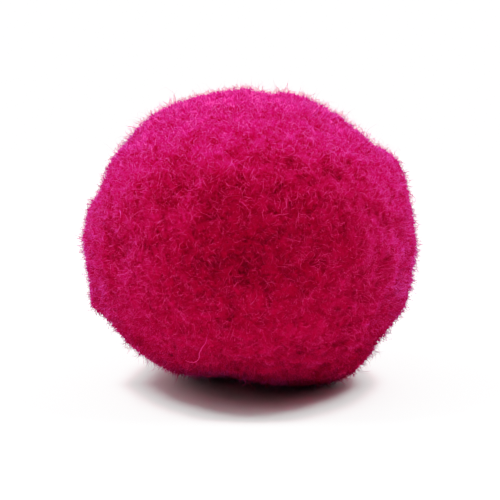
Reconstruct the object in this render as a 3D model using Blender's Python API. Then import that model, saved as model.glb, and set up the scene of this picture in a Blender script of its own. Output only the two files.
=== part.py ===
"""Yarn pom pom: one ball of cut yarn locks.

The locks spring from one packed body, splay out in all directions and are clipped to a slightly
flattened, lumpy ball. Those underneath are shorter, so that their cut ends lie level on the floor.

Metres, +Z up. The origin is on the floor, under the middle of the ball, and the front faces -Y.
"""

import math
import random

import bmesh
import bpy
from mathutils import Vector, noise

NAME = "pompom"

# The ball before it settles on its underside.
WIDTH = 0.0398  # along X
DEPTH = 0.0386  # along Y
HEIGHT = 0.0358  # along Z
CENTRE_HEIGHT = 0.0168  # of the ball's middle above the floor, less than half of HEIGHT

# The roots of the locks are laid out as squares on the six sides of a cube blown up to a ball.
LOCKS_PER_EDGE = 7
LOCK_ANGLE = math.pi / 2 / LOCKS_PER_EDGE  # that one square takes up, seen from the ball's middle
WANDER = 0.09  # how far the rows of squares stray from straight, in radians
WANDER_FINENESS = 1.8  # more of it makes the rows bend more often
WANDER_APART = (Vector((0.3, 0, 0)), Vector((0, 7.4, 0)), Vector((0, 0, 13.6)))  # one along each axis
UNEVEN_SQUARES = 0.17  # how far a square's corners stray, as a share of its side
LOCK_LENGTH = 0.0050  # from the packed body to the cut end
UNEVEN_CUT = 0.00025  # how far the clipping strays in or out from lock to lock
LEAN = 0.06  # how far a cut end stands off its root, as a share of a square's side
SEED = 4

# The rings of four corners that shape a lock.
# fill: the share of its square that the ring fills. back: metres in from the cut end.
# loose: the share of the lock's lean and uneven cut that the ring takes up.
RINGS = (
    # name, fill, back, loose
    ("root", 0.90, LOCK_LENGTH, 0.0),
    ("shoulder", 0.86, 0.0011, 0.5),
    ("cut_end", 0.56, 0.0, 1.0),
)

# Where the clipped ball swells or falls in from the even one.
# bearing: degrees round from +X towards +Y. height: degrees above the middle.
# rise: metres out, or in if negative. spread: degrees from its middle to where it has mostly gone.
LUMPS = (
    # name, bearing, height, rise, spread
    ("right_shoulder", 7, 29, 0.0009, 8),
    ("right_of_crown", 11, 43, -0.0012, 10),
    ("crown_tuft", 33, 68, 0.0002, 8),
    ("crown_dip", 58, 76, -0.0007, 7),
    ("left_of_crown", 156, 60, 0.0005, 15),
    ("left_shoulder", 176, 20, -0.0009, 14),
    ("left_corner", 184, -20, 0.0010, 6),
    ("left_cheek", 184, -10, -0.0003, 8),
    ("left_foot", 250, -66, -0.0021, 15),
    ("right_foot", -20, -52, 0.0014, 17),
    ("right_cheek", -5, -23, 0.0006, 11),
    ("upper_left_hollow", 241, 26, -0.0009, 9),
    ("lower_left_hollow", 218, 1, -0.0008, 9),
    ("front_hollow", 268, 5, -0.0005, 11),
    ("front_tuft", 250, 38, 0.0004, 9),
    ("low_front_tuft", 277, -24, 0.0005, 12),
    ("back_left_swell", 128, 12, 0.0006, 18),
    ("back_hollow", 92, -8, -0.0007, 15),
    ("back_right_swell", 52, 18, 0.0005, 14),
    ("back_low_swell", 70, -42, 0.0005, 16),
)

YARN_COLOUR = (0.55, 0.005, 0.09, 1.0)
YARN_ROUGHNESS = 0.9


def clear_scene():
    for obj in list(bpy.data.objects):
        bpy.data.objects.remove(obj, do_unlink=True)


def yarn_material():
    material = bpy.data.materials.new("fuchsia_yarn")
    material.use_nodes = True
    shader = material.node_tree.nodes["Principled BSDF"]
    shader.inputs["Base Color"].default_value = YARN_COLOUR
    shader.inputs["Roughness"].default_value = YARN_ROUGHNESS
    shader.inputs["Metallic"].default_value = 0.0
    shader.inputs["Sheen Weight"].default_value = 0.4
    material.diffuse_color = YARN_COLOUR
    return material


def towards(bearing, height):
    """The unit vector at this bearing and height, in degrees."""
    around, up = math.radians(bearing), math.radians(height)
    return Vector((math.cos(around) * math.cos(up), math.sin(around) * math.cos(up), math.sin(up)))


def clipped_reach(direction):
    """How far the clipped ball reaches from its middle in this direction, with no floor under it."""
    shares = (direction.x / (WIDTH / 2), direction.y / (DEPTH / 2), direction.z / (HEIGHT / 2))
    reach = 1 / math.hypot(*shares)
    for _, bearing, height, rise, spread in LUMPS:
        off = direction.angle(towards(bearing, height)) / math.radians(spread)
        reach += rise * math.exp(-off * off)
    return reach


def settled_reach(direction, cut=0.0):
    """How far the ball reaches in this direction once clipped and set down on the floor."""
    reach = clipped_reach(direction) + cut
    if direction.z < 0:
        reach = min(reach, CENTRE_HEIGHT / -direction.z)
    return reach


def random_vector(rng, reach):
    return Vector([rng.uniform(-reach, reach) for _ in range(3)])


def strayed_direction(corner, rng):
    """The direction in which a corner of the cube's squares ends up on the ball."""
    # The tangent makes squares in the middle of a side and at its edge alike in size.
    direction = Vector([math.tan(along * math.pi / 4) for along in corner]).normalized()
    spot = direction * WANDER_FINENESS
    direction += WANDER * Vector([noise.noise(spot + apart) for apart in WANDER_APART])
    direction += random_vector(rng, UNEVEN_SQUARES * LOCK_ANGLE)
    return direction.normalized()


def cube_of_squares():
    """A cube from -1 to 1 with its sides cut into squares, and the squares in order of place."""
    ball = bmesh.new()
    bmesh.ops.create_cube(ball, size=2)
    bmesh.ops.subdivide_edges(ball, edges=ball.edges[:], cuts=LOCKS_PER_EDGE - 1, use_grid_fill=True)
    return ball, sorted(ball.faces, key=lambda square: square.calc_center_median().to_tuple(3))


def blow_up(ball, rng):
    """Blows the cube up to the packed body, from which the locks spring."""
    for corner in sorted(ball.verts, key=lambda corner: corner.co.to_tuple(3)):
        way = strayed_direction(corner.co, rng)
        corner.co = way * (settled_reach(way) - LOCK_LENGTH)


def grow_lock(ball, square, rng):
    """Extrudes a lock from its square of the packed body, ring by ring, out to its cut end."""
    roots = [corner.co.normalized() for corner in square.verts]
    middle = sum(roots, Vector()).normalized()
    lean = random_vector(rng, LEAN * LOCK_ANGLE)
    cut = rng.uniform(-UNEVEN_CUT, UNEVEN_CUT)
    end = square
    for _, fill, back, loose in RINGS:
        end = bmesh.ops.extrude_discrete_faces(ball, faces=[end])["faces"][0]
        for corner, root in zip(end.verts, roots):
            way = (middle.lerp(root, fill) + lean * loose).normalized()
            corner.co = way * (settled_reach(way, cut * loose) - back)


def pompom_mesh():
    rng = random.Random(SEED)
    ball, squares = cube_of_squares()
    blow_up(ball, rng)
    for square in squares:
        grow_lock(ball, square, rng)
    mesh = bpy.data.meshes.new(NAME)
    ball.to_mesh(mesh)
    ball.free()
    return mesh


def put_over_origin(mesh):
    """Lifts the ball's middle to its height, and centres the ball on the Z axis."""
    for axis in (0, 1):
        places = [corner.co[axis] for corner in mesh.vertices]
        aside = (min(places) + max(places)) / 2
        for corner in mesh.vertices:
            corner.co[axis] -= aside
    for corner in mesh.vertices:
        corner.co.z += CENTRE_HEIGHT


def main():
    clear_scene()
    parts = bpy.data.collections.new("yarn_pom_pom")
    bpy.context.scene.collection.children.link(parts)

    mesh = pompom_mesh()
    put_over_origin(mesh)
    mesh.materials.append(yarn_material())
    mesh.shade_smooth()
    mesh.set_sharp_from_angle(angle=math.radians(40))
    parts.objects.link(bpy.data.objects.new(NAME, mesh))


main()
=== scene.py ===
"""Yarn pom pom: the fuzzy look of the ball.

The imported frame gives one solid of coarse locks. This script replaces it with a body of packed
yarn raised in tufts, six layers of fine curled pile grown on the tufts, and a few stray hairs.

Metres, +Z up, the front faces -Y.
"""

import math
from functools import partial

import bmesh
import bpy
import numpy
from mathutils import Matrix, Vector


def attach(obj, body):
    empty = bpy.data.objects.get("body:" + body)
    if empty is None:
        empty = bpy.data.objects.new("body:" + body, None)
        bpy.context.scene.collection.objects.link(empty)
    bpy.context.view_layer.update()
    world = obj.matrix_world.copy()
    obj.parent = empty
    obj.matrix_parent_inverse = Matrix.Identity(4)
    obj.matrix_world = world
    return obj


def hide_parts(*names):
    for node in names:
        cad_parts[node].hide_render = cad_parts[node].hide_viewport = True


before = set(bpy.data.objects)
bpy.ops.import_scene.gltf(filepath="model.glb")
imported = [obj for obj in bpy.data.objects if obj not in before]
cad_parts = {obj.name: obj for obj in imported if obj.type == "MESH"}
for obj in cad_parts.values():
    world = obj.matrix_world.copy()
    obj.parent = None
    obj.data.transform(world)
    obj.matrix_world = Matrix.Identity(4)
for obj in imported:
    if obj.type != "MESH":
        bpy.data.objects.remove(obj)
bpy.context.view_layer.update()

bl_info = {
    "name": "Yarn Pom Pom",
    "version": (1, 0, 0),
    "blender": (4, 5, 0),
    "location": "View3D > Sidebar > Pom Pom",
    "description": "Dresses the pom pom's frame in tufts of cut yarn",
    "category": "Object",
}

NODE = "pompom"
BODY = "root"
BAKE_MAP = "OFBake"
MM = 0.001

# The clipped ball's middle above the floor, as in the solid.
MIDDLE_HEIGHT = 16.8 * MM
# Where the clipped ball swells or falls in from the even one, as in the solid.
# bearing: degrees round from +X towards +Y. height: degrees above the middle.
# rise: metres out, or in if negative. spread: degrees from its middle to where it has mostly gone.
LUMPS = (
    # name, bearing, height, rise, spread
    ("right_shoulder", 7, 29, 0.0009, 8),
    ("right_of_crown", 11, 43, -0.0012, 10),
    ("crown_tuft", 33, 68, 0.0002, 8),
    ("crown_dip", 58, 76, -0.0007, 7),
    ("left_of_crown", 156, 60, 0.0005, 15),
    ("left_shoulder", 176, 20, -0.0009, 14),
    ("left_corner", 184, -20, 0.0010, 6),
    ("left_cheek", 184, -10, -0.0003, 8),
    ("left_foot", 250, -66, -0.0021, 15),
    ("right_foot", -20, -52, 0.0014, 17),
    ("right_cheek", -5, -23, 0.0006, 11),
    ("upper_left_hollow", 241, 26, -0.0009, 9),
    ("lower_left_hollow", 218, 1, -0.0008, 9),
    ("front_hollow", 268, 5, -0.0005, 11),
    ("front_tuft", 250, 38, 0.0004, 9),
    ("low_front_tuft", 277, -24, 0.0005, 12),
    ("back_left_swell", 128, 12, 0.0006, 18),
    ("back_hollow", 92, -8, -0.0007, 15),
    ("back_right_swell", 52, 18, 0.0005, 14),
    ("back_low_swell", 70, -42, 0.0005, 16),
)

# The scatter of the tufts.
TUFT_SEED = 7
# The layers of pile, from the imported yarn outwards. All stand on the imported yarn's tufts.
# per_mm2: fibres on each square millimetre. reach, breadth, frizz and curl: length, thickness,
# waywardness and curl as shares of the pile's. tone: how much paler, or deeper if negative. The
# deeper tones of the under and inner layers are painted shade in the depths of the pile; the paler
# tones of the outer layers, flecks and loose fuzz are partly their own paler fibres and partly a
# painted glow of the lit fringe.
# stretches: the straight stretches that make up a fibre's curl. seed: the layer's own scatter.
PILE_LAYERS = (
    # name, per_mm2, reach, breadth, frizz, curl, tone, stretches, seed
    ("pile_under", 11.0, 0.50, 1.1, 1.6, 0.0, -0.34, 1, 11),
    ("pile_inner", 12.3, 0.62, 1.0, 1.5, 0.0, -0.22, 1, 12),
    ("pile_middle", 4.5, 1.25, 1.0, 1.2, 2.2, -0.12, 2, 13),
    ("pile_outer", 4.6, 1.85, 0.95, 1.2, 2.8, 0.08, 2, 14),
    ("pile_flecks", 3.3, 0.80, 1.1, 1.7, 3.0, 0.50, 2, 15),
    ("loose_fuzz", 1.25, 2.45, 0.80, 1.0, 4.6, 0.18, 3, 16),
)

# Single hairs that stand out from the pile. Each runs through its points: the bearing and height
# in degrees, and the millimetres out from the clipped ball.
STRAY_HAIRS = (
    # name, thickness in mm, points
    (
        "low_front_hair",
        0.11,
        (
            (-104.2, -20.1, 0.0),
            (-104.9, -22.0, 0.6),
            (-105.8, -24.6, 0.7),
            (-107.7, -27.2, 0.6),
            (-109.2, -29.6, 0.7),
            (-110.0, -32.1, 0.8),
            (-112.4, -34.2, 0.8),
            (-115.4, -34.8, 0.7),
            (-118.2, -35.6, 0.3),
        ),
    ),
    (
        "left_curl",
        0.17,
        ((-153.0, 12.1, 0.9), (-151.2, 11.5, 1.4), (-151.6, 10.2, 1.4), (-152.6, 8.9, 1.0)),
    ),
    ("speck_curl", 0.12, ((-139.7, 17.5, 0.8), (-137.0, 16.4, 1.3), (-138.0, 15.0, 0.9))),
    ("left_horn_high", 0.13, ((-172.2, 46.0, 0.1), (179.0, 44.2, 0.6), (173.0, 42.4, 0.8))),
    ("left_horn_low", 0.11, ((-169.7, 43.9, 0.1), (-177.0, 43.4, 0.5), (176.0, 42.6, 0.8))),
    ("left_horn_under", 0.11, ((-172.0, 42.6, 0.1), (-178.0, 41.8, 0.5), (174.0, 41.6, 0.7))),
    ("top_lock_left", 0.13, ((-172.2, 57.6, 0.0), (177.0, 56.8, 0.5), (168.0, 55.8, 0.7))),
    ("top_lock_right", 0.13, ((-170.4, 60.3, 0.0), (-178.9, 59.2, 0.5), (171.0, 57.6, 0.7))),
    (
        "far_left_spike",
        0.13,
        ((-160.4, 3.7, 0.1), (-168.0, 2.8, 0.4), (-174.5, 1.7, 0.6), (-175.3, 1.6, 0.9)),
    ),
    (
        "far_left_whisker",
        0.07,
        ((-165.0, 3.2, 0.1), (-175.5, 2.0, 0.4), (-175.5, 2.6, 0.9), (-175.6, 3.4, 1.3)),
    ),
    (
        "right_loop",
        0.10,
        (
            (-13.8, 20.9, 0.0),
            (-11.6, 18.7, 0.4),
            (-9.0, 16.2, 0.7),
            (-10.4, 14.9, 0.6),
            (-15.7, 15.6, 0.3),
        ),
    ),
    (
        "right_small_loop",
        0.09,
        ((-16.2, 18.7, 0.0), (-11.8, 18.2, 0.4), (-8.9, 17.0, 0.6), (-13.4, 16.7, 0.4)),
    ),
    (
        "right_high_wisp",
        0.09,
        ((-8.8, 24.9, 0.0), (-6.0, 23.3, 0.5), (-4.7, 21.4, 0.7), (-8.0, 20.9, 0.5)),
    ),
    (
        "right_low_wisp",
        0.09,
        ((-17.3, 10.8, 0.0), (-14.5, 9.1, 0.5), (-14.0, 7.5, 0.7), (-17.1, 7.1, 0.5)),
    ),
    ("far_right_spike", 0.12, ((-16.1, 1.9, 0.0), (-10.0, 0.8, 0.4), (-5.0, -0.5, 0.8))),
    ("low_right_wisp", 0.09, ((-31.6, -41.2, 0.0), (-28.5, -43.0, 0.4), (-26.8, -44.9, 0.5))),
)
# Steps that a stray hair's run takes from one of its points to the next.
STRAY_STEPS = 5
# How pale a stray hair is, from 0 to 1.
STRAY_SHADE = 0.95

# Sides of a fibre or a stray hair.
HAIR_SIDES = 3
# Each of the fibres' random draws has a seed of its own, this far on from the layer's.
FIBRE_DRAWS = {"frizz": 100, "length": 200, "side": 300, "shade": 400, "spin": 500, "turn": 600}

# Inputs and outputs of nodes that only their number tells from others of the same name.
RANDOM_LOW, RANDOM_HIGH, RANDOM_NUMBER = 2, 3, 1
MIX_FIRST, MIX_SECOND, MIX_COLOUR = 6, 7, 2
# The ends of a random vector that may point any way.
EVERY_WAY = {0: (-1, -1, -1), 1: (1, 1, 1)}
# The middle of what a noise gives.
NOISE_MIDDLE = 0.5

# The softboxes: two above, a little behind the ball, one on each side.
SOFTBOXES = (
    # name, place in metres, power in watts
    ("left_softbox", (-0.15, 0.038, 0.26), 1.22),
    ("right_softbox", (0.15, 0.038, 0.26), 1.17),
)

# How the studio's film shows light: deep in the shadows, and easing off towards white.
WHITE_LEVEL = 1.45
FILM_CURVE = (
    # light, shown
    (0.010, 0.0035),
    (0.030, 0.018),
    (0.060, 0.050),
    (0.120, 0.145),
    (0.250, 0.350),
    (0.450, 0.545),
    (0.750, 0.700),
    (1.100, 0.930),
)


def linear(hex_colour):
    """A colour given as sRGB hex, such as "#C8106A", in Blender's linear values."""
    parts = [int(hex_colour[start : start + 2], 16) / 255 for start in (1, 3, 5)]
    return tuple(
        part / 12.92 if part <= 0.04045 else ((part + 0.055) / 1.055) ** 2.4 for part in parts
    )


def colour_property(name, hex_colour, description):
    return bpy.props.FloatVectorProperty(
        name=name,
        description=description,
        default=linear(hex_colour),
        size=3,
        subtype="COLOR",
        min=0,
        max=1,
    )


def length_property(name, default, description):
    return bpy.props.FloatProperty(
        name=name, description=description, default=default, min=0, unit="LENGTH", precision=5
    )


def share_property(name, default, description):
    return bpy.props.FloatProperty(
        name=name, description=description, default=default, subtype="FACTOR"
    )


def light_property(name, default, description):
    return bpy.props.FloatProperty(name=name, description=description, default=default, min=0)


def angle_property(name, default, description):
    return bpy.props.FloatProperty(
        name=name, description=description, default=default, subtype="ANGLE"
    )


class BallSettings(bpy.types.PropertyGroup):
    width: length_property("Width", 39.8 * MM, "Width of the clipped ball without its lumps")
    depth: length_property("Depth", 38.6 * MM, "Depth of the clipped ball without its lumps")
    height: length_property("Height", 35.8 * MM, "Height of the ball before it settles on its underside")
    sunk: length_property("Sunk", 0.52 * MM, "How far the packed yarn lies under the clipped ball")


class TuftSettings(bpy.types.PropertyGroup):
    spacing: length_property("Spacing", 1.7 * MM, "Least distance between the middles of two tufts")
    relief: length_property("Relief", 0.20 * MM, "How far a tuft domes out from the gaps round it")
    swell: length_property("Swell", 1.4 * MM, "Most that groups of tufts differ in height")
    swell_size: length_property("Swell Size", 4.3 * MM, "Breadth of a group of tufts that swells")
    ragged: length_property("Ragged", 3.0 * MM, "Widest that a tuft's edge strays, from side to side")
    ragged_size: length_property("Ragged Size", 1.1 * MM, "Breadth of a stray in a tuft's edge")
    lean: share_property("Lean", 0.35, "Lean of a tuft's fibres to one side, as a share of their length")


class PileSettings(bpy.types.PropertyGroup):
    length: length_property("Length", 0.92 * MM, "Length of a fibre of full reach")
    thickness: length_property("Thickness", 0.06 * MM, "Thickness of a fibre at its root")
    splay: share_property("Splay", 0.45, "How far fibres spread from the middle of their tuft")
    frizz: share_property("Frizz", 0.75, "How far fibres point away from the pile's lay")
    curl: angle_property("Curl", math.radians(34), "How far a fibre turns from its root to its tip")
    wisp: share_property("Wisp", 2.5, "How far neighbouring fibres are drawn together to one side")
    wisp_size: length_property("Wisp Size", 1.5 * MM, "Breadth of a group of fibres drawn together")
    roundness: share_property("Roundness", 0.40, "How far a fibre shades as its own shape, not the ball's")
    underside: length_property("Underside", 0.05 * MM, "Least height of a fibre above the floor")


class YarnColours(bpy.types.PropertyGroup):
    # From root to tip the fibres' colours are partly the dye and partly painted: deeper at the root as
    # painted shade in the pile, paler at the light tips as a painted glow of the lit fringe.
    deep_root: colour_property("Deep Root", "#9E013B", "Root of the darkest fibres")
    deep_tip: colour_property("Deep Tip", "#8C0244", "Tip of the darkest fibres")
    light_root: colour_property("Light Root", "#A20349", "Root of the lightest fibres")
    light_tip: colour_property("Light Tip", "#FF6098", "Tip of the lightest fibres")
    packed: colour_property("Packed Yarn", "#B5013F", "Packed yarn where it lies open")
    # Painted shade in the grooves between the packed yarn's strands.
    packed_groove_shade: colour_property("Packed Yarn, Deep", "#900030", "Packed yarn between its strands")
    sheen: colour_property("Sheen", "#BE5CA4", "Glow of the fine down on the fibres")


class StageSettings(bpy.types.PropertyGroup):
    floor: colour_property("Floor", "#E3E3E3", "White sweep that the pom pom rests on")
    floor_size: length_property("Floor Size", 0.32, "Width of the white sweep")
    softbox_size: length_property("Softbox Size", 0.13, "Width of each round softbox")
    surround: light_property("Surround", 1.36, "Light of the white walls")
    surround_turn: angle_property("Surround Turn", -0.25, "Turn of the walls' brightest side")
    backdrop: light_property("Backdrop", 1.47, "Light of the backdrop in view")
    camera_distance: length_property("Camera Distance", 0.30, "From the camera to the point it looks at")
    camera_rise: angle_property("Camera Rise", math.radians(12), "How far the camera looks down")
    camera_aim: length_property("Camera Aim", 15.6 * MM, "Height of the point the camera looks at")
    lens: bpy.props.FloatProperty(name="Lens", description="Focal length", default=182, unit="CAMERA")


def add_node(tree, kind, inputs=None, **settings):
    """Adds a node with its settings to a tree, sets or links its inputs, and gives its outputs.

    inputs: from the name or number of an input to its value, or to another node's output.
    """
    node = tree.nodes.new(kind)
    for name, value in settings.items():
        setattr(node, name, value)
    for key, value in (inputs or {}).items():
        if isinstance(value, bpy.types.NodeSocket):
            tree.links.new(value, node.inputs[key])
        else:
            node.inputs[key].default_value = value
    return node.outputs


def new_tree(name, inputs):
    """A Geometry Nodes tree, what adds nodes to it, and its inputs: a geometry and the named ones."""
    tree = bpy.data.node_groups.new(name, "GeometryNodeTree")
    for way in ("INPUT", "OUTPUT"):
        tree.interface.new_socket("Geometry", in_out=way, socket_type="NodeSocketGeometry")
    for kind, names in inputs.items():
        for input_name in names:
            tree.interface.new_socket(input_name, in_out="INPUT", socket_type="NodeSocket" + kind)
    add = partial(add_node, tree)
    return tree, add, add("NodeGroupInput")


def grown_mesh(name, source, tree, values):
    """The plain mesh that a tree makes of the source mesh, with these values for its named inputs."""
    holder = bpy.data.objects.new(name, source)
    bpy.context.scene.collection.objects.link(holder)
    modifier = holder.modifiers.new(tree.name, "NODES")
    modifier.node_group = tree
    for socket in tree.interface.items_tree:
        if socket.in_out == "INPUT" and socket.name in values:
            modifier[socket.identifier] = values[socket.name]
    depsgraph = bpy.context.evaluated_depsgraph_get()
    evaluated = holder.evaluated_get(depsgraph)
    mesh = bpy.data.meshes.new_from_object(
        evaluated, preserve_all_data_layers=True, depsgraph=depsgraph
    )
    mesh.name = name
    bpy.data.objects.remove(holder)
    if not mesh.polygons:
        raise RuntimeError(f"{tree.name} grew nothing for {name}")
    return mesh


def add_piece(name, mesh, material):
    """A finished piece of the pom pom, riding on its one body."""
    notes = [one.name for one in mesh.attributes if one.name.startswith(("tuft_", "fibre_"))]
    for note in notes:
        mesh.attributes.remove(mesh.attributes[note])
    mesh.materials.clear()
    mesh.materials.append(material)
    piece = bpy.data.objects.new(name, mesh)
    bpy.context.scene.collection.objects.link(piece)
    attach(piece, BODY)
    return piece


def towards(bearing, height):
    """The unit vector at this bearing and height, in degrees."""
    around, up = math.radians(bearing), math.radians(height)
    return numpy.array((math.cos(around) * math.cos(up), math.sin(around) * math.cos(up), math.sin(up)))


def settled_reach(directions, ball):
    """How far the ball reaches from its middle in each direction, once clipped and set on the floor."""
    halves = numpy.array((ball.width, ball.depth, ball.height)) / 2
    reach = 1 / numpy.linalg.norm(directions / halves, axis=1)
    for _, bearing, height, rise, spread in LUMPS:
        angles = numpy.arccos(numpy.clip(directions @ towards(bearing, height), -1, 1))
        reach += rise * numpy.exp(-((angles / math.radians(spread)) ** 2))
    # A direction that hardly points down never meets the floor.
    least_fall = 1e-6
    down = numpy.minimum(directions[:, 2], -least_fall)
    return numpy.where(directions[:, 2] < 0, numpy.minimum(reach, MIDDLE_HEIGHT / -down), reach)


def even_directions():
    """An even ball of small triangles, as a mesh, and the unit vector to each of its vertices."""
    splits = 7
    shell = bmesh.new()
    bmesh.ops.create_icosphere(shell, subdivisions=splits, radius=1)
    mesh = bpy.data.meshes.new("ball")
    shell.to_mesh(mesh)
    shell.free()
    directions = numpy.empty(len(mesh.vertices) * 3)
    mesh.vertices.foreach_get("co", directions)
    directions = directions.reshape(-1, 3)
    return mesh, directions / numpy.linalg.norm(directions, axis=1)[:, None]


def ball_middle(outside):
    """The ball's middle, set so that the clipped ball's points stand centred on the Z axis."""
    shift = (outside[:, :2].min(axis=0) + outside[:, :2].max(axis=0)) / 2
    return numpy.array((-shift[0], -shift[1], MIDDLE_HEIGHT))


def tufted_ball(scene):
    """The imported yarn's mesh, its tufts raised and noted on it, and the middle of the ball."""
    ball, tufts = scene.pompom_ball, scene.pompom_tufts
    mesh, directions = even_directions()
    reach = settled_reach(directions, ball)
    middle = ball_middle(directions * reach[:, None])
    points = directions * (reach - ball.sunk)[:, None] + middle
    mesh.vertices.foreach_set("co", points.ravel())
    mesh.update()
    values = {
        "Spacing": tufts.spacing,
        "Relief": tufts.relief,
        "Swell": tufts.swell,
        "Swell Size": tufts.swell_size,
        "Ragged": tufts.ragged,
        "Ragged Size": tufts.ragged_size,
        "Lean": tufts.lean,
        "Seed": TUFT_SEED,
    }
    return grown_mesh("packed_yarn", mesh, tuft_tree(), values), middle


def tuft_tree():
    """Raises a dome for each tuft, and notes on the surface what the pile needs to know of it."""
    tree, add, given = new_tree(
        "raise_tufts",
        {
            "Float": ("Spacing", "Relief", "Swell", "Swell Size", "Ragged", "Ragged Size", "Lean"),
            "Int": ("Seed",),
        },
    )
    most_middles = 2e6
    stray_detail = 2.0
    swell_detail, swell_roughness = 3.0, 0.55
    dome_share, dome_power, dome_middle = 0.75, 2.0, 0.5
    least_rise, most_rise = 0.55, 1.25
    rise_seed, tone_seed, lean_seed = 1, 2, 3

    # Each point belongs to the nearest tuft's middle, found from a place that strays a little.
    position = add("GeometryNodeInputPosition")[0]
    scale = add("ShaderNodeMath", {0: 1.0, 1: given["Ragged Size"]}, operation="DIVIDE")[0]
    stray = add("ShaderNodeTexNoise", {"Scale": scale, "Detail": stray_detail})["Color"]
    stray = add("ShaderNodeVectorMath", {0: stray, 1: (NOISE_MIDDLE,) * 3}, operation="SUBTRACT")[0]
    place = add(
        "ShaderNodeVectorMath",
        {0: stray, 1: given["Ragged"], 2: position},
        operation="MULTIPLY_ADD",
    )[0]
    middles = add(
        "GeometryNodeDistributePointsOnFaces",
        {
            "Mesh": given["Geometry"],
            "Distance Min": given["Spacing"],
            "Density Max": most_middles,
            "Seed": given["Seed"],
        },
        distribute_method="POISSON",
    )["Points"]
    nearest = add(
        "GeometryNodeSampleNearest",
        {"Geometry": middles, "Sample Position": place},
        domain="POINT",
    )[0]
    middle = add(
        "GeometryNodeSampleIndex",
        {"Geometry": middles, "Value": position, "Index": nearest},
        data_type="FLOAT_VECTOR",
    )[0]

    # A tuft is highest in its middle and falls to its edge. Its rise, tone and lean are its own.
    away = add("ShaderNodeVectorMath", {0: place, 1: middle}, operation="SUBTRACT")[0]
    off = add("ShaderNodeVectorMath", {0: away}, operation="LENGTH")["Value"]
    radius = add("ShaderNodeMath", {0: given["Spacing"], 1: dome_share}, operation="MULTIPLY")[0]
    spread = add("ShaderNodeVectorMath", {0: away, 1: radius}, operation="DIVIDE")[0]
    share = add("ShaderNodeMath", {0: off, 1: radius}, operation="DIVIDE", use_clamp=True)[0]
    fall = add("ShaderNodeMath", {0: share, 1: dome_power}, operation="POWER")[0]
    dome = add("ShaderNodeMath", {0: 1.0, 1: fall}, operation="SUBTRACT")[0]
    rise, tone = (
        add(
            "FunctionNodeRandomValue",
            {RANDOM_LOW: low, RANDOM_HIGH: high, "ID": nearest, "Seed": seed},
            data_type="FLOAT",
        )[RANDOM_NUMBER]
        for low, high, seed in ((least_rise, most_rise, rise_seed), (0.0, 1.0, tone_seed))
    )
    lean = add(
        "FunctionNodeRandomValue",
        {**EVERY_WAY, "ID": nearest, "Seed": lean_seed},
        data_type="FLOAT_VECTOR",
    )[0]
    lean = add("ShaderNodeVectorMath", {0: lean, 1: given["Lean"]}, operation="MULTIPLY")[0]

    # Groups of tufts swell together.
    scale = add("ShaderNodeMath", {0: 1.0, 1: given["Swell Size"]}, operation="DIVIDE")[0]
    level = add(
        "ShaderNodeTexNoise",
        {"Scale": scale, "Detail": swell_detail, "Roughness": swell_roughness},
    )["Fac"]
    level = add("ShaderNodeMath", {0: level, 1: NOISE_MIDDLE}, operation="SUBTRACT")[0]
    swell = add("ShaderNodeMath", {0: level, 1: given["Swell"]}, operation="MULTIPLY")[0]
    height = add("ShaderNodeMath", {0: dome, 1: dome_middle}, operation="SUBTRACT")[0]
    height = add("ShaderNodeMath", {0: height, 1: given["Relief"]}, operation="MULTIPLY")[0]
    height = add("ShaderNodeMath", {0: height, 1: rise, 2: swell}, operation="MULTIPLY_ADD")[0]

    tufted = given["Geometry"]
    for name, kind, value in (
        ("tuft_dome", "FLOAT", dome),
        ("tuft_rise", "FLOAT", rise),
        ("tuft_tone", "FLOAT", tone),
        ("tuft_level", "FLOAT", level),
        ("tuft_spread", "FLOAT_VECTOR", spread),
        ("tuft_lean", "FLOAT_VECTOR", lean),
    ):
        tufted = add(
            "GeometryNodeStoreNamedAttribute",
            {"Geometry": tufted, "Name": name, "Value": value},
            data_type=kind,
        )[0]
    normal = add("GeometryNodeInputNormal")[0]
    offset = add("ShaderNodeVectorMath", {0: normal, 1: height}, operation="MULTIPLY")[0]
    tufted = add("GeometryNodeSetPosition", {"Geometry": tufted, "Offset": offset})[0]
    add("NodeGroupOutput", {"Geometry": tufted})
    return tree


def draw_seed(add, given, draw):
    """The seed of one of the fibres' random draws, each of which has its own."""
    return add("ShaderNodeMath", {0: given["Seed"], 1: FIBRE_DRAWS[draw]}, operation="ADD")[0]


def drawn_number(add, given, draw, low, high):
    """A random number for each fibre, from low to high."""
    return add(
        "FunctionNodeRandomValue",
        {RANDOM_LOW: low, RANDOM_HIGH: high, "Seed": draw_seed(add, given, draw)},
        data_type="FLOAT",
    )[RANDOM_NUMBER]


def drawn_way(add, given, draw):
    """A random vector for each fibre, from -1 to 1 along each axis."""
    return add(
        "FunctionNodeRandomValue",
        {**EVERY_WAY, "Seed": draw_seed(add, given, draw)},
        data_type="FLOAT_VECTOR",
    )[0]


def height_above_floor(add):
    """How high the point lies above the floor."""
    position = add("GeometryNodeInputPosition")[0]
    return add("ShaderNodeSeparateXYZ", {0: position})["Z"]


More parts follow.
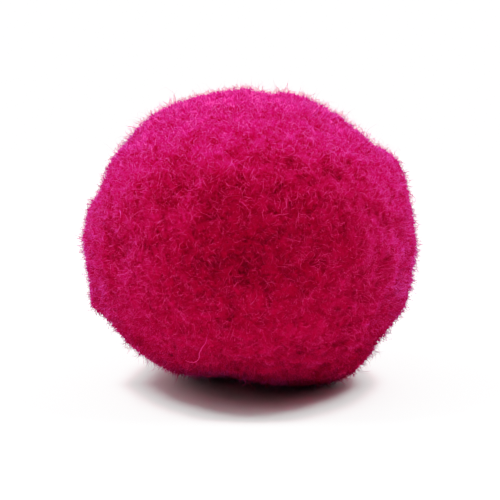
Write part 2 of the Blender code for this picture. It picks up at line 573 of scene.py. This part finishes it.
def spike(add, given):
    """One fibre: an open three-sided spike, a metre long and a metre wide at its root."""
    fullness = 1.6
    cone = add(
        "GeometryNodeMeshCone",
        {
            "Vertices": HAIR_SIDES,
            "Side Segments": given["Stretches"],
            "Radius Top": 0.0,
            "Radius Bottom": 1 / 2,
            "Depth": 1.0,
        },
        fill_type="NONE",
    )["Mesh"]
    position = add("GeometryNodeInputPosition")[0]
    place = add("ShaderNodeSeparateXYZ", {0: position})
    for name, value in (("fibre_along", place["Z"]), ("fibre_side", place["X"])):
        cone = add(
            "GeometryNodeStoreNamedAttribute",
            {"Geometry": cone, "Name": name, "Value": value},
        )[0]
    # Half way along, a fibre is nearly as thick as at its root, and then it narrows to its tip.
    fuller = add(
        "ShaderNodeMath",
        {0: place["Z"], 1: fullness, 2: 1.0},
        operation="MULTIPLY_ADD",
    )[0]
    fuller = add("ShaderNodeCombineXYZ", {0: fuller, 1: fuller, 2: 1.0})[0]
    full = add("ShaderNodeVectorMath", {0: position, 1: fuller}, operation="MULTIPLY")[0]
    return add("GeometryNodeSetPosition", {"Geometry": cone, "Position": full})[0]


def fibre_length(add, given, wisp):
    """Each fibre's length: uneven, longer on a tuft's dome and in a wisp, short under the ball."""
    short, extra, extra_power = 0.6, 0.65, 2.0
    at_edge, for_dome, for_rise = 0.35, 0.25, 0.5
    pressed, pressed_to = 0.4, 5 * MM
    wisp_from, wisp_to, least_wisp, most_wisp = 0.35, 0.65, 0.65, 1.5

    uneven = drawn_number(add, given, "length", 0.0, 1.0)
    uneven = add("ShaderNodeMath", {0: uneven, 1: extra_power}, operation="POWER")[0]
    uneven = add("ShaderNodeMath", {0: uneven, 1: extra, 2: short}, operation="MULTIPLY_ADD")[0]
    domed = at_edge
    for name, weight in (("tuft_dome", for_dome), ("tuft_rise", for_rise)):
        note = add("GeometryNodeInputNamedAttribute", {"Name": name})[0]
        domed = add("ShaderNodeMath", {0: note, 1: weight, 2: domed}, operation="MULTIPLY_ADD")[0]
    near_floor = add(
        "ShaderNodeMapRange",
        {"Value": height_above_floor(add), "From Max": pressed_to, "To Min": pressed},
    )[0]
    in_wisp = add(
        "ShaderNodeMapRange",
        {
            "Value": wisp,
            "From Min": wisp_from,
            "From Max": wisp_to,
            "To Min": least_wisp,
            "To Max": most_wisp,
        },
    )[0]
    length = given["Length"]
    for share in (uneven, domed, near_floor, in_wisp):
        length = add("ShaderNodeMath", {0: length, 1: share}, operation="MULTIPLY")[0]
    return length


def fibre_shade(add, given):
    """Each fibre's shade, from 0 for the deepest to 1 for the lightest, with painted shade in dips."""
    # A random tone for each fibre and its tuft, and painted shade: deeper at a tuft's edge and in a low
    # swell, paler on a tuft's dome and on a high swell.
    for_tone, for_dome, for_level = 0.12, 0.1, 0.2
    # Painted shade: fibres low on the ball, near the floor, are deeper.
    shaded, shaded_from, shaded_to = -0.42, 2 * MM, 14 * MM
    darkest, lightest = 0.03, 0.97

    shade = drawn_number(add, given, "shade", 0.0, 1.0)
    for name, middle, weight in (
        ("tuft_tone", 0.5, for_tone),
        ("tuft_dome", 0.5, for_dome),
        ("tuft_level", 0.0, for_level),
    ):
        note = add("GeometryNodeInputNamedAttribute", {"Name": name})[0]
        above = add("ShaderNodeMath", {0: note, 1: middle}, operation="SUBTRACT")[0]
        shade = add("ShaderNodeMath", {0: above, 1: weight, 2: shade}, operation="MULTIPLY_ADD")[0]
    painted_shade_near_floor = add(
        "ShaderNodeMapRange",
        {
            "Value": height_above_floor(add),
            "From Min": shaded_from,
            "From Max": shaded_to,
            "To Min": shaded,
            "To Max": 0.0,
        },
    )[0]
    for operation, value in (
        ("ADD", given["Tone"]),
        ("ADD", painted_shade_near_floor),
        ("MAXIMUM", darkest),
        ("MINIMUM", lightest),
    ):
        shade = add("ShaderNodeMath", {0: shade, 1: value}, operation=operation)[0]
    return shade


def curled(add, along):
    """Where a straight fibre's point comes to lie once the fibre is bent into an arc."""
    root, lay, aside = (
        add("GeometryNodeInputNamedAttribute", {"Name": name}, data_type="FLOAT_VECTOR")[0]
        for name in ("fibre_root", "fibre_lay", "fibre_aside")
    )
    turn = add("GeometryNodeInputNamedAttribute", {"Name": "fibre_turn"})[0]
    angle = add("ShaderNodeMath", {0: along, 1: turn}, operation="MULTIPLY")[0]
    sine = add("ShaderNodeMath", {0: angle}, operation="SINE")[0]
    cosine = add("ShaderNodeMath", {0: angle}, operation="COSINE")[0]
    fallen = add("ShaderNodeMath", {0: 1.0, 1: cosine}, operation="SUBTRACT")[0]
    risen = add("ShaderNodeMath", {0: sine, 1: turn}, operation="DIVIDE")[0]
    swung = add("ShaderNodeMath", {0: fallen, 1: turn}, operation="DIVIDE")[0]
    arc = add("ShaderNodeVectorMath", {0: aside, 1: swung}, operation="MULTIPLY")[0]
    arc = add("ShaderNodeVectorMath", {0: lay, 1: risen, 2: arc}, operation="MULTIPLY_ADD")[0]
    core = add("ShaderNodeVectorMath", {0: root, 1: arc}, operation="ADD")[0]

    # The fibre's cross-section turns with it.
    position = add("GeometryNodeInputPosition")[0]
    line = add("ShaderNodeVectorMath", {0: lay, 1: along, 2: root}, operation="MULTIPLY_ADD")[0]
    section = add("ShaderNodeVectorMath", {0: position, 1: line}, operation="SUBTRACT")[0]
    hinge = add("ShaderNodeVectorMath", {0: lay, 1: aside}, operation="CROSS_PRODUCT")[0]
    section = add("ShaderNodeVectorRotate", {"Vector": section, "Axis": hinge, "Angle": angle})[0]
    return add("ShaderNodeVectorMath", {0: core, 1: section}, operation="ADD")[0]


def fibre_lay(add, given, normal, wisp):
    """The way a fibre grows: outwards, away from its tuft's middle, leaning, frizzed, in wisps."""
    spread, lean = (
        add("GeometryNodeInputNamedAttribute", {"Name": name}, data_type="FLOAT_VECTOR")[0]
        for name in ("tuft_spread", "tuft_lean")
    )
    drift = add("ShaderNodeVectorMath", {0: wisp, 1: (NOISE_MIDDLE,) * 3}, operation="SUBTRACT")[0]
    frizz = drawn_way(add, given, "frizz")
    lay = add(
        "ShaderNodeVectorMath",
        {0: spread, 1: given["Splay"], 2: normal},
        operation="MULTIPLY_ADD",
    )[0]
    lay = add("ShaderNodeVectorMath", {0: lay, 1: lean}, operation="ADD")[0]
    for way, share in ((frizz, given["Frizz"]), (drift, given["Wisp"])):
        lay = add("ShaderNodeVectorMath", {0: way, 1: share, 2: lay}, operation="MULTIPLY_ADD")[0]
    return add("ShaderNodeVectorMath", {0: lay}, operation="NORMALIZE")[0]


def kept_above(add, grown, lowest):
    """The pile with its lowest points pressed flat, so that nothing goes through the floor."""
    position = add("GeometryNodeInputPosition")[0]
    here = add("ShaderNodeSeparateXYZ", {0: position})
    above = add("ShaderNodeMath", {0: here["Z"], 1: lowest}, operation="MAXIMUM")[0]
    above = add("ShaderNodeCombineXYZ", {0: here["X"], 1: here["Y"], 2: above})[0]
    return add("GeometryNodeSetPosition", {"Geometry": grown, "Position": above})[0]


def mapped(add, grown, along):
    """The pile with its map: each fibre a thin strip, its shade across and root to tip upwards."""
    strip_width = 0.012
    side, shade = (
        add("GeometryNodeInputNamedAttribute", {"Name": name})[0]
        for name in ("fibre_side", "fibre_shade")
    )
    across = add("ShaderNodeMath", {0: side, 1: strip_width, 2: shade}, operation="MULTIPLY_ADD")[0]
    laid = add("ShaderNodeCombineXYZ", {0: across, 1: along})[0]
    return add(
        "GeometryNodeStoreNamedAttribute",
        {"Geometry": grown, "Name": BAKE_MAP, "Value": laid},
        data_type="FLOAT2",
        domain="CORNER",
    )[0]


def softly_shaded(add, grown, roundness):
    """The pile shaded mostly as the ball is where it grows, as light spreads between its fibres."""
    grown = add("GeometryNodeSetShadeSmooth", {"Geometry": grown})[0]
    own = add("GeometryNodeInputNormal")[0]
    ball = add(
        "GeometryNodeInputNamedAttribute",
        {"Name": "fibre_normal"},
        data_type="FLOAT_VECTOR",
    )[0]
    soft = add("ShaderNodeVectorMath", {0: own, 1: roundness, 2: ball}, operation="MULTIPLY_ADD")[0]
    soft = add("ShaderNodeVectorMath", {0: soft}, operation="NORMALIZE")[0]
    return add(
        "GeometryNodeSetMeshNormal",
        {"Mesh": grown, "Custom Normal": soft},
        mode="FREE",
        domain="POINT",
    )[0]


def pile_tree():
    """Grows curled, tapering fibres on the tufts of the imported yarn."""
    tree, add, given = new_tree(
        "grow_pile",
        {
            "Float": (
                "Density",
                "Length",
                "Thickness",
                "Splay",
                "Frizz",
                "Curl",
                "Wisp",
                "Wisp Size",
                "Tone",
                "Roundness",
                "Underside",
            ),
            "Int": ("Stretches", "Seed"),
            "Material": ("Material",),
        },
    )
    wisp_detail = 1.0
    least_turn, most_turn = 0.4, 1.6
    # A fibre that hardly turns is as good as straight, and keeps the arc's sums from dividing by 0.
    straight = 0.05

    scatter = add(
        "GeometryNodeDistributePointsOnFaces",
        {"Mesh": given["Geometry"], "Density": given["Density"], "Seed": given["Seed"]},
    )
    normal = scatter["Normal"]
    scale = add("ShaderNodeMath", {0: 1.0, 1: given["Wisp Size"]}, operation="DIVIDE")[0]
    wisp = add("ShaderNodeTexNoise", {"Scale": scale, "Detail": wisp_detail})
    lay = fibre_lay(add, given, normal, wisp["Color"])
    length = fibre_length(add, given, wisp["Fac"])
    sideways = add(
        "ShaderNodeVectorMath",
        {0: lay, 1: drawn_way(add, given, "side")},
        operation="CROSS_PRODUCT",
    )[0]
    sideways = add("ShaderNodeVectorMath", {0: sideways}, operation="NORMALIZE")[0]
    turn = drawn_number(add, given, "turn", least_turn, most_turn)
    turn = add("ShaderNodeMath", {0: turn, 1: given["Curl"]}, operation="MULTIPLY")[0]
    turn = add("ShaderNodeMath", {0: turn, 1: straight}, operation="MAXIMUM")[0]
    reach, aside = (
        add("ShaderNodeVectorMath", {0: way, 1: length}, operation="MULTIPLY")[0]
        for way in (lay, sideways)
    )
    root = add("GeometryNodeInputPosition")[0]

    # What each fibre needs to know once it has grown is noted at its root.
    points = scatter["Points"]
    for name, kind, value in (
        ("fibre_root", "FLOAT_VECTOR", root),
        ("fibre_lay", "FLOAT_VECTOR", reach),
        ("fibre_aside", "FLOAT_VECTOR", aside),
        ("fibre_turn", "FLOAT", turn),
        ("fibre_shade", "FLOAT", fibre_shade(add, given)),
        ("fibre_normal", "FLOAT_VECTOR", normal),
    ):
        points = add(
            "GeometryNodeStoreNamedAttribute",
            {"Geometry": points, "Name": name, "Value": value},
            data_type=kind,
        )[0]
    size = add("ShaderNodeCombineXYZ", {0: given["Thickness"], 1: given["Thickness"], 2: length})[0]
    spin = drawn_number(add, given, "spin", 0.0, 2 * math.pi)
    spin = add("ShaderNodeCombineXYZ", {2: spin})[0]
    spun = add("FunctionNodeEulerToRotation", {0: spin})[0]
    risen = add("FunctionNodeAlignRotationToVector", {"Rotation": spun, "Vector": lay}, axis="Z")[0]
    grown = add(
        "GeometryNodeInstanceOnPoints",
        {"Points": points, "Instance": spike(add, given), "Rotation": risen, "Scale": size},
    )[0]
    grown = add("GeometryNodeRealizeInstances", {"Geometry": grown})[0]

    along = add("GeometryNodeInputNamedAttribute", {"Name": "fibre_along"})[0]
    bent = curled(add, along)
    grown = add("GeometryNodeSetPosition", {"Geometry": grown, "Position": bent})[0]
    grown = kept_above(add, grown, given["Underside"])
    grown = mapped(add, grown, along)
    grown = softly_shaded(add, grown, given["Roundness"])
    grown = add(
        "GeometryNodeSetMaterial",
        {"Geometry": grown, "Material": given["Material"]},
    )[0]
    add("NodeGroupOutput", {"Geometry": grown})
    return tree


def smoothed(points, steps):
    """The points of a smooth run through these, as a Catmull-Rom spline."""
    padded = [points[0], *points, points[-1]]
    run = []
    for before, start, end, after in zip(padded, padded[1:], padded[2:], padded[3:]):
        for step in range(steps):
            share = step / steps
            run.append(
                0.5
                * (
                    2 * start
                    + (end - before) * share
                    + (2 * before - 5 * start + 4 * end - after) * share**2
                    + (3 * start - before - 3 * end + after) * share**3
                )
            )
    return [*run, points[-1]]


def stray_mesh(ball, middle):
    """The stray hairs, each a three-sided thread that narrows at its tip."""
    threads = bmesh.new()
    bake = threads.loops.layers.uv.new(BAKE_MAP)
    for _, thickness, points in STRAY_HAIRS:
        places = []
        for bearing, height, out in points:
            direction = towards(bearing, height)
            reach = settled_reach(direction[None], ball)[0] + out * MM
            places.append(Vector(middle + direction * reach))
        run = smoothed(places, STRAY_STEPS)
        rings = []
        for index, place in enumerate(run):
            along = index / (len(run) - 1)
            heading = run[min(index + 1, len(run) - 1)] - run[max(index - 1, 0)]
            across = heading.cross(place - Vector(middle)).normalized()
            up = across.cross(heading).normalized()
            radius = thickness * MM / 2 * math.sqrt(1 - along**2)
            ring = []
            for side in range(HAIR_SIDES):
                turn = 2 * math.pi * side / HAIR_SIDES
                out = math.cos(turn) * across + math.sin(turn) * up
                ring.append(threads.verts.new(place + radius * out))
            rings.append((along, ring))
        for (low, first), (high, second) in zip(rings, rings[1:]):
            for side in range(HAIR_SIDES):
                after = (side + 1) % HAIR_SIDES
                face = threads.faces.new((first[side], first[after], second[after], second[side]))
                face.smooth = True
                for loop, along in zip(face.loops, (low, low, high, high)):
                    loop[bake].uv = (STRAY_SHADE, along)
    bmesh.ops.recalc_face_normals(threads, faces=threads.faces)
    mesh = bpy.data.meshes.new("stray_hairs")
    threads.to_mesh(mesh)
    threads.free()
    return mesh


def opaque(colour):
    """A colour with the full alpha that a node's colour takes."""
    return (*colour, 1)


def new_material(name):
    """An empty material, and what adds nodes to it."""
    material = bpy.data.materials.new(name)
    material.use_nodes = True
    material.node_tree.nodes.clear()
    return material, partial(add_node, material.node_tree)


def add_matt_surface(add, inputs):
    """Gives a material its shader, without gloss, and with these inputs."""
    shader = add("ShaderNodeBsdfPrincipled", {"Specular IOR Level": 0.0, **inputs})[0]
    add("ShaderNodeOutputMaterial", {"Surface": shader})


def down(colours, roughness):
    """The shader's inputs for the glow of fine down, seen at a glancing angle."""
    return {
        "Sheen Weight": 1.0,
        "Sheen Roughness": roughness,
        "Sheen Tint": opaque(colours.sheen),
    }


def pile_material(colours):
    """Dyed acrylic fibre, cut and brushed out, matt. It is paler and pinker towards the tip as a
    painted glow of the lit fringe, and deeper at the root as painted shade.
    """
    material, add = new_material("dyed_acrylic_fibre")
    roughness, down_roughness = 0.75, 0.26
    # Few fibres are truly pale.
    pale_power = 2.0
    laid = add("ShaderNodeUVMap", uv_map=BAKE_MAP)[0]
    place = add("ShaderNodeSeparateXYZ", {0: laid})
    # Painted shade deepens each fibre at its root, and a painted glow pales it at its tip.
    deep, light = (
        add(
            "ShaderNodeMix",
            {0: place["Y"], MIX_FIRST: opaque(root), MIX_SECOND: opaque(tip)},
            data_type="RGBA",
        )[MIX_COLOUR]
        for root, tip in (
            (colours.deep_root, colours.deep_tip),
            (colours.light_root, colours.light_tip),
        )
    )
    paler = add("ShaderNodeMath", {0: place["X"], 1: pale_power}, operation="POWER")[0]
    dye_and_painted_light = add(
        "ShaderNodeMix",
        {0: paler, MIX_FIRST: deep, MIX_SECOND: light},
        data_type="RGBA",
    )[MIX_COLOUR]
    frayed = down(colours, down_roughness)
    add_matt_surface(add, {"Base Color": dye_and_painted_light, "Roughness": roughness, **frayed})
    return material


def packed_material(colours):
    """Packed acrylic yarn between the tufts: the same dye, matt, with painted shade deepening the grooves
    between its strands.
    """
    material, add = new_material("packed_acrylic_yarn")
    roughness, down_roughness = 0.9, 0.6
    strand = 0.3 * MM
    groove, groove_strength = 0.1 * MM, 0.6
    grain_detail, grain_roughness = 3.0, 0.6
    spot = add("ShaderNodeTexCoord")["Object"]
    grain_and_groove_shade = add(
        "ShaderNodeTexNoise",
        {
            "Vector": spot,
            "Scale": 1 / strand,
            "Detail": grain_detail,
            "Roughness": grain_roughness,
        },
    )["Fac"]
    # Painted shade: the yarn is deeper where the grain is low, in the grooves between its strands.
    dye_and_painted_light = add(
        "ShaderNodeMix",
        {0: grain_and_groove_shade, MIX_FIRST: opaque(colours.packed_groove_shade), MIX_SECOND: opaque(colours.packed)},
        data_type="RGBA",
    )[MIX_COLOUR]
    grooved = add(
        "ShaderNodeBump",
        {"Strength": groove_strength, "Distance": groove, "Height": grain_and_groove_shade},
    )[0]
    worn = down(colours, down_roughness)
    add_matt_surface(add, {"Base Color": dye_and_painted_light, "Roughness": roughness, "Normal": grooved, **worn})
    return material


def paper_material(colour):
    """Matt white paper, rolled out as the sweep."""
    material, add = new_material("matt_white_paper")
    add_matt_surface(add, {"Base Color": opaque(colour), "Roughness": 1.0})
    return material


class POMPOM_OT_packed_yarn(bpy.types.Operator):
    """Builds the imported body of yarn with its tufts"""

    bl_idname = "pompom.packed_yarn"
    bl_label = "Packed Yarn"

    def execute(self, context):
        scene = context.scene
        mesh, _ = tufted_ball(scene)
        mesh.shade_smooth()
        piece = add_piece("packed_yarn", mesh, packed_material(scene.pompom_colours))
        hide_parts(NODE)
        return {"FINISHED"}


class POMPOM_OT_pile(bpy.types.Operator):
    """Grows the layers of cut pile on the tufts"""

    bl_idname = "pompom.pile"
    bl_label = "Pile"

    def execute(self, context):
        scene = context.scene
        pile = scene.pompom_pile
        ground, _ = tufted_ball(scene)
        tree = pile_tree()
        material = pile_material(scene.pompom_colours)
        for name, per_mm2, reach, breadth, frizz, curl, tone, stretches, seed in PILE_LAYERS:
            values = {
                "Density": per_mm2 / MM**2,
                "Length": pile.length * reach,
                "Thickness": pile.thickness * breadth,
                "Splay": pile.splay,
                "Frizz": pile.frizz * frizz,
                "Curl": pile.curl * curl,
                "Stretches": stretches,
                "Wisp": pile.wisp,
                "Wisp Size": pile.wisp_size,
                "Tone": tone,
                "Roundness": pile.roundness,
                "Underside": pile.underside,
                "Seed": seed,
                "Material": material,
            }
            add_piece(name, grown_mesh(name, ground, tree, values), material)
        return {"FINISHED"}


class POMPOM_OT_stray_hairs(bpy.types.Operator):
    """Draws the single hairs that stand out from the pile"""

    bl_idname = "pompom.stray_hairs"
    bl_label = "Stray Hairs"

    def execute(self, context):
        scene = context.scene
        _, middle = tufted_ball(scene)
        mesh = stray_mesh(scene.pompom_ball, middle)
        add_piece("stray_hairs", mesh, pile_material(scene.pompom_colours))
        return {"FINISHED"}


def lay_sweep(scene, stage):
    """The white paper that the pom pom rests on."""
    sheet = bmesh.new()
    bmesh.ops.create_grid(sheet, x_segments=1, y_segments=1, size=stage.floor_size / 2)
    mesh = bpy.data.meshes.new("white_sweep")
    sheet.to_mesh(mesh)
    sheet.free()
    mesh.materials.append(paper_material(stage.floor))
    sweep = bpy.data.objects.new("white_sweep", mesh)
    scene.collection.objects.link(sweep)


def light_studio(scene, stage):
    """White walls at the back and sides, open towards the camera, and the softboxes above."""
    # From -1 for the way to the camera to 1 for the way straight back: where the walls begin, and
    # where they are fully lit.
    open_from, lit_from = -0.55, 0.1
    world = bpy.data.worlds.new("white_studio")
    world.use_nodes = True
    world.node_tree.nodes.clear()
    add = partial(add_node, world.node_tree)
    way = add("ShaderNodeTexCoord")["Generated"]
    turned = add(
        "ShaderNodeVectorRotate",
        {0: way, "Angle": stage.surround_turn},
        rotation_type="Z_AXIS",
    )[0]
    back = add("ShaderNodeSeparateXYZ", {0: turned})["Y"]
    walls = add(
        "ShaderNodeMapRange",
        {
            "Value": back,
            "From Min": open_from,
            "From Max": lit_from,
            "To Min": 0.0,
            "To Max": stage.surround,
        },
        interpolation_type="SMOOTHSTEP",
    )[0]
    # What the camera sees behind the sweep is the backdrop.
    seen = add("ShaderNodeLightPath")["Is Camera Ray"]
    light = add("ShaderNodeMapRange", {"Value": seen, "To Min": walls, "To Max": stage.backdrop})[0]
    white = add("ShaderNodeBackground", {"Color": opaque((1, 1, 1)), "Strength": light})[0]
    add("ShaderNodeOutputWorld", {"Surface": white})
    scene.world = world

    for name, place, power in SOFTBOXES:
        light = bpy.data.lights.new(name, "AREA")
        light.shape = "DISK"
        light.size = stage.softbox_size
        light.energy = power
        lamp = bpy.data.objects.new(name, light)
        lamp.location = place
        lamp.rotation_euler = (-Vector(place)).to_track_quat("-Z", "Y").to_euler()
        scene.collection.objects.link(lamp)


def set_camera(scene, stage):
    """The camera in front of the pom pom, looking a little down on it."""
    full_frame = 36
    camera = bpy.data.cameras.new("camera")
    camera.sensor_width = full_frame
    camera.lens = stage.lens
    view = bpy.data.objects.new("camera", camera)
    aim = Vector((0, 0, stage.camera_aim))
    back = Vector((0, -math.cos(stage.camera_rise), math.sin(stage.camera_rise)))
    view.location = aim + stage.camera_distance * back
    view.rotation_euler = (-back).to_track_quat("-Z", "Y").to_euler()
    scene.collection.objects.link(view)
    scene.camera = view


def load_film(scene):
    """The curve that light is shown by."""
    settings = scene.view_settings
    settings.view_transform = "Standard"
    settings.look = "None"
    settings.use_curve_mapping = True
    mapping = settings.curve_mapping
    mapping.white_level = (WHITE_LEVEL,) * 3
    # The last of the four curves holds for all three colours.
    *_, whole = mapping.curves
    for light, shown in FILM_CURVE:
        whole.points.new(light / WHITE_LEVEL, shown)
    mapping.update()


class POMPOM_OT_stage(bpy.types.Operator):
    """Lays the white sweep and sets the lights and the camera"""

    bl_idname = "pompom.stage"
    bl_label = "Stage"

    def execute(self, context):
        scene = context.scene
        stage = scene.pompom_stage
        lay_sweep(scene, stage)
        light_studio(scene, stage)
        set_camera(scene, stage)
        load_film(scene)
        return {"FINISHED"}


class POMPOM_PT_builder(bpy.types.Panel):
    """Lists the pom pom's settings and the operators that build it"""

    bl_label = "Yarn Pom Pom"
    bl_idname = "POMPOM_PT_builder"
    bl_space_type = "VIEW_3D"
    bl_region_type = "UI"
    bl_category = "Pom Pom"

    def draw(self, context):
        for settings in (getattr(context.scene, name) for name in SETTINGS):
            box = self.layout.box()
            for name in settings.__annotations__:
                box.prop(settings, name)
        for operator in OPERATORS:
            self.layout.operator(operator.bl_idname)


SETTINGS = {
    "pompom_ball": BallSettings,
    "pompom_tufts": TuftSettings,
    "pompom_pile": PileSettings,
    "pompom_colours": YarnColours,
    "pompom_stage": StageSettings,
}
OPERATORS = (POMPOM_OT_packed_yarn, POMPOM_OT_pile, POMPOM_OT_stray_hairs, POMPOM_OT_stage)
CLASSES = (*SETTINGS.values(), *OPERATORS, POMPOM_PT_builder)


def register():
    for one in CLASSES:
        bpy.utils.register_class(one)
    for name, settings in SETTINGS.items():
        setattr(bpy.types.Scene, name, bpy.props.PointerProperty(type=settings))


def unregister():
    for name in SETTINGS:
        delattr(bpy.types.Scene, name)
    for one in reversed(CLASSES):
        bpy.utils.unregister_class(one)


def main():
    register()
    bpy.ops.pompom.packed_yarn()
    bpy.ops.pompom.pile()
    bpy.ops.pompom.stray_hairs()
    bpy.ops.pompom.stage()


if __name__ == "__main__":
    main()
